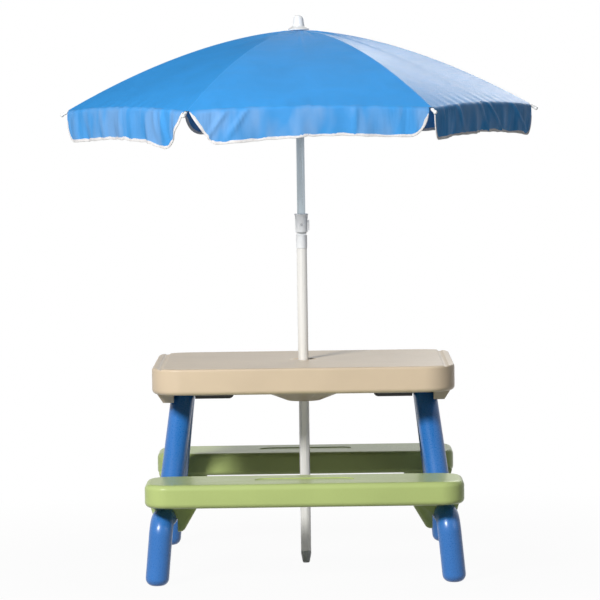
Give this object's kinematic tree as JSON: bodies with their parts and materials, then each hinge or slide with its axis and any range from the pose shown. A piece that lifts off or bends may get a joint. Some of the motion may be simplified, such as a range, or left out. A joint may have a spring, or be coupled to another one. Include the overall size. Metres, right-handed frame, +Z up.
{
  "type": "children's picnic table with umbrella",
  "caption": "Children's play table on splayed legs with two attached benches that fold in, and a tilting sun umbrella that stands through its top.",
  "frame": {"origin": "on the floor under the middle of the table", "axes": "+Z up, +X along the table to the right as seen from its front bench, -Y towards the front bench"},
  "size_m": [1.1538, 1.0284, 1.3285],
  "materials": {
    "table_tan": "satin",
    "bench_green": "satin",
    "leg_blue": "gloss",
    "bracket_black": "matte",
    "fitting_white": "gloss",
    "lower_pole_white": "gloss",
    "upper_pole_grey": "gloss",
    "frame_steel": "satin",
    "canopy_blue": "matte"
  },
  "bodies": {
    "table": {"table_top": "table_tan", "left_hinge_bracket": "bracket_black", "right_hinge_bracket": "bracket_black", "front_left_hinge_pin": "frame_steel", "front_right_hinge_pin": "frame_steel", "rear_left_hinge_pin": "frame_steel", "rear_right_hinge_pin": "frame_steel"},
    "front_bench_unit": {"front_bench": "bench_green", "front_left_leg": "leg_blue", "front_left_bench_screw": "frame_steel", "front_right_leg": "leg_blue", "front_right_bench_screw": "frame_steel"},
    "rear_bench_unit": {"rear_bench": "bench_green", "rear_left_leg": "leg_blue", "rear_left_bench_screw": "frame_steel", "rear_right_leg": "leg_blue", "rear_right_bench_screw": "frame_steel"},
    "umbrella_lower_pole": {"lower_pole": "lower_pole_white", "pole_end_plug": "fitting_white"},
    "umbrella_joint": {"tilt_joint_base": "fitting_white", "tilt_pin": "frame_steel"},
    "umbrella_top": {"tilt_joint_fork": "fitting_white", "upper_pole": "upper_pole_grey", "hub": "fitting_white", "finial": "fitting_white"},
    "tilt_lock": {"tilt_button": "fitting_white"},
    "umbrella_runner": {"runner": "fitting_white"},
    "umbrella_rib_1": {"rib_1": "frame_steel", "rib_cap_1": "fitting_white", "rib_rivet_1": "frame_steel", "canopy_panel_1": "canopy_blue"},
    "umbrella_rib_2": {"rib_2": "frame_steel", "rib_cap_2": "fitting_white", "rib_rivet_2": "frame_steel", "canopy_panel_2": "canopy_blue"},
    "umbrella_rib_3": {"rib_3": "frame_steel", "rib_cap_3": "fitting_white", "rib_rivet_3": "frame_steel", "canopy_panel_3": "canopy_blue"},
    "umbrella_rib_4": {"rib_4": "frame_steel", "rib_cap_4": "fitting_white", "rib_rivet_4": "frame_steel", "canopy_panel_4": "canopy_blue"},
    "umbrella_rib_5": {"rib_5": "frame_steel", "rib_cap_5": "fitting_white", "rib_rivet_5": "frame_steel", "canopy_panel_5": "canopy_blue"},
    "umbrella_rib_6": {"rib_6": "frame_steel", "rib_cap_6": "fitting_white", "rib_rivet_6": "frame_steel", "canopy_panel_6": "canopy_blue"},
    "umbrella_stretcher_1": {"stretcher_1": "frame_steel"},
    "umbrella_stretcher_2": {"stretcher_2": "frame_steel"},
    "umbrella_stretcher_3": {"stretcher_3": "frame_steel"},
    "umbrella_stretcher_4": {"stretcher_4": "frame_steel"},
    "umbrella_stretcher_5": {"stretcher_5": "frame_steel"},
    "umbrella_stretcher_6": {"stretcher_6": "frame_steel"}
  },
  "joints": [
    {"name": "front_bench_fold", "type": "hinge", "parent": "table", "child": "front_bench_unit", "pos_m": [0, -0.045, 0.418], "axis": [1, 0, 0], "range_deg": [0, 34]},
    {"name": "rear_bench_fold", "type": "hinge", "parent": "table", "child": "rear_bench_unit", "pos_m": [0, 0.045, 0.418], "axis": [-1, 0, 0], "range_deg": [0, 34]},
    {"name": "umbrella_lift", "type": "slide", "parent": "table", "child": "umbrella_lower_pole", "axis": [0, 0, 1], "range_m": [0, 0.5]},
    {"name": "umbrella_swivel", "type": "hinge", "parent": "umbrella_lower_pole", "child": "umbrella_joint", "pos_m": [0, 0, 0.766], "axis": [0, 0, 1], "continuous": true},
    {"name": "umbrella_tilt", "type": "hinge", "parent": "umbrella_joint", "child": "umbrella_top", "pos_m": [0, 0, 0.824], "axis": [0, -1, 0], "range_deg": [0, 35]},
    {"name": "tilt_button_press", "type": "slide", "parent": "umbrella_top", "child": "tilt_lock", "axis": [-1, 0, 0], "range_m": [0, 0.0012], "stiffness_N_per_m": 400},
    {"name": "runner_slide", "type": "slide", "parent": "umbrella_top", "child": "umbrella_runner", "axis": [0, 0, 1], "range_m": [-0.2426, 0]},
    {"name": "rib_1_fold", "type": "hinge", "parent": "umbrella_top", "child": "umbrella_rib_1", "pos_m": [0.01998, 0.00098, 1.276], "axis": [-0.0488, 0.9988, 0], "range_deg": [0, 62.05], "deforming": ["canopy_panel_1"]},
    {"name": "stretcher_1_swing", "type": "hinge", "parent": "umbrella_rib_1", "child": "umbrella_stretcher_1", "pos_m": [0.19826, 0.0097, 1.2551], "axis": [0.0488, -0.9988, 0], "range_deg": [0, 104.6]},
    {"name": "rib_2_fold", "type": "hinge", "parent": "umbrella_top", "child": "umbrella_rib_2", "pos_m": [0.00914, 0.01779, 1.276], "axis": [-0.8894, 0.4571, 0], "range_deg": [0, 62.05], "deforming": ["canopy_panel_2"]},
    {"name": "stretcher_2_swing", "type": "hinge", "parent": "umbrella_rib_2", "child": "umbrella_stretcher_2", "pos_m": [0.09073, 0.17655, 1.2551], "axis": [0.8894, -0.4571, 0], "range_deg": [0, 104.6]},
    {"name": "rib_3_fold", "type": "hinge", "parent": "umbrella_top", "child": "umbrella_rib_3", "pos_m": [-0.01083, 0.01681, 1.276], "axis": [-0.8406, -0.5417, 0], "range_deg": [0, 62.05], "deforming": ["canopy_panel_3"]},
    {"name": "stretcher_3_swing", "type": "hinge", "parent": "umbrella_rib_3", "child": "umbrella_stretcher_3", "pos_m": [-0.10753, 0.16685, 1.2551], "axis": [0.8406, 0.5417, 0], "range_deg": [0, 104.6]},
    {"name": "rib_4_fold", "type": "hinge", "parent": "umbrella_top", "child": "umbrella_rib_4", "pos_m": [-0.01998, -0.00098, 1.276], "axis": [0.0488, -0.9988, 0], "range_deg": [0, 62.05], "deforming": ["canopy_panel_4"]},
    {"name": "stretcher_4_swing", "type": "hinge", "parent": "umbrella_rib_4", "child": "umbrella_stretcher_4", "pos_m": [-0.19826, -0.0097, 1.2551], "axis": [-0.0488, 0.9988, 0], "range_deg": [0, 104.6]},
    {"name": "rib_5_fold", "type": "hinge", "parent": "umbrella_top", "child": "umbrella_rib_5", "pos_m": [-0.00914, -0.01779, 1.276], "axis": [0.8894, -0.4571, 0], "range_deg": [0, 62.05], "deforming": ["canopy_panel_5"]},
    {"name": "stretcher_5_swing", "type": "hinge", "parent": "umbrella_rib_5", "child": "umbrella_stretcher_5", "pos_m": [-0.09073, -0.17655, 1.2551], "axis": [-0.8894, 0.4571, 0], "range_deg": [0, 104.6]},
    {"name": "rib_6_fold", "type": "hinge", "parent": "umbrella_top", "child": "umbrella_rib_6", "pos_m": [0.01083, -0.01681, 1.276], "axis": [0.8406, 0.5417, 0], "range_deg": [0, 62.05], "deforming": ["canopy_panel_6"]},
    {"name": "stretcher_6_swing", "type": "hinge", "parent": "umbrella_rib_6", "child": "umbrella_stretcher_6", "pos_m": [0.10753, -0.16685, 1.2551], "axis": [-0.8406, -0.5417, 0], "range_deg": [0, 104.6]}
  ],
  "couplings": [
    {"joint": "rib_1_fold", "follows": "runner_slide", "rad_per_m": -4.4604},
    {"joint": "stretcher_1_swing", "follows": "runner_slide", "rad_per_m": -7.5216},
    {"joint": "rib_2_fold", "follows": "runner_slide", "rad_per_m": -4.4604},
    {"joint": "stretcher_2_swing", "follows": "runner_slide", "rad_per_m": -7.5216},
    {"joint": "rib_3_fold", "follows": "runner_slide", "rad_per_m": -4.4604},
    {"joint": "stretcher_3_swing", "follows": "runner_slide", "rad_per_m": -7.5216},
    {"joint": "rib_4_fold", "follows": "runner_slide", "rad_per_m": -4.4604},
    {"joint": "stretcher_4_swing", "follows": "runner_slide", "rad_per_m": -7.5216},
    {"joint": "rib_5_fold", "follows": "runner_slide", "rad_per_m": -4.4604},
    {"joint": "stretcher_5_swing", "follows": "runner_slide", "rad_per_m": -7.5216},
    {"joint": "rib_6_fold", "follows": "runner_slide", "rad_per_m": -4.4604},
    {"joint": "stretcher_6_swing", "follows": "runner_slide", "rad_per_m": -7.5216}
  ]
}
